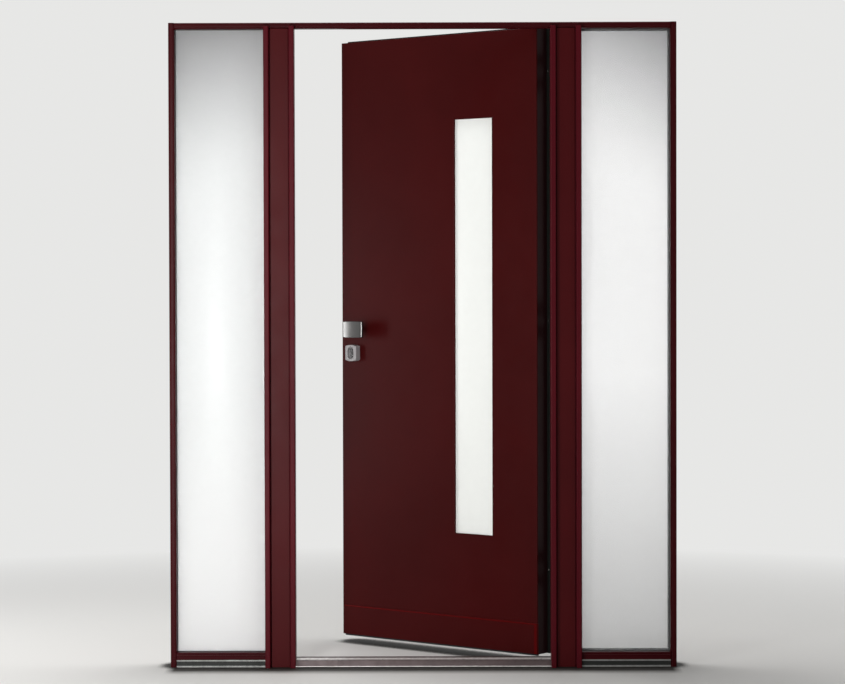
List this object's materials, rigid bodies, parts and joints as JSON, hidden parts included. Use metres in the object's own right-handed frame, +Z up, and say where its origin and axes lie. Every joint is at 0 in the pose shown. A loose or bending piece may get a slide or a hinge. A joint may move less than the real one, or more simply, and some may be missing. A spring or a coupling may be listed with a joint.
{
  "type": "security door with two sidelights",
  "caption": "Burgundy steel security door with a tall frosted slot window, a square pull and a guarded lock, hinged between posts with narrow frosted sidelights.",
  "frame": {"origin": "middle of the threshold's underside, on the floor, halfway through the frame's depth", "axes": "+Z up; +X to the right as seen from outside; +Y into the building"},
  "size_m": [1.66, 0.735, 2.11],
  "materials": {
    "frame_paint": "satin burgundy paint",
    "leaf_paint": "satin burgundy paint",
    "dark_steel": "dark grey coated steel",
    "satin_steel": "satin stainless",
    "sill_metal": "mill grey",
    "frosted_glass": "frosted",
    "seal_rubber": "matt",
    "grey_rubber": "matt"
  },
  "bodies": {
    "frame": {"left_jamb": "frame_paint", "right_jamb": "frame_paint", "head_rail": "frame_paint", "lock_post": "frame_paint", "hinge_post": "frame_paint", "lock_post_cover": "frame_paint", "hinge_post_cover": "frame_paint", "threshold": "satin_steel", "strike_plate": "satin_steel", "left_sill": "sill_metal", "right_sill": "sill_metal", "left_bottom_rail": "frame_paint", "right_bottom_rail": "frame_paint", "left_side_glass": "frosted_glass", "right_side_glass": "frosted_glass", "left_glass_seal": "seal_rubber", "right_glass_seal": "seal_rubber", "left_glazing_bead": "frame_paint", "right_glazing_bead": "frame_paint", "lower_hinge_frame_half": "satin_steel", "middle_hinge_frame_half": "satin_steel", "upper_hinge_frame_half": "satin_steel"},
    "leaf": {"leaf_shell": "dark_steel", "outer_panel": "leaf_paint", "inner_panel": "leaf_paint", "kick_plate": "leaf_paint", "door_glass": "frosted_glass", "outer_glass_trim": "leaf_paint", "inner_glass_trim": "leaf_paint", "lip_seal": "grey_rubber", "bottom_sweep": "seal_rubber", "pull_plate": "satin_steel", "pull_neck": "satin_steel", "lock_guard": "satin_steel", "lock_cylinder": "satin_steel", "lock_faceplate": "satin_steel", "lock_bolts": "satin_steel", "inside_lever": "satin_steel", "inside_knob": "satin_steel", "lower_hinge_leaf_half": "satin_steel", "middle_hinge_leaf_half": "satin_steel", "upper_hinge_leaf_half": "satin_steel"}
  },
  "joints": [
    {"name": "leaf_swing", "type": "hinge", "parent": "frame", "child": "leaf", "pos_m": [0.462, 0.093, 0], "axis": [0, 0, -1], "range_deg": [-39.7, 50.3]}
  ]
}
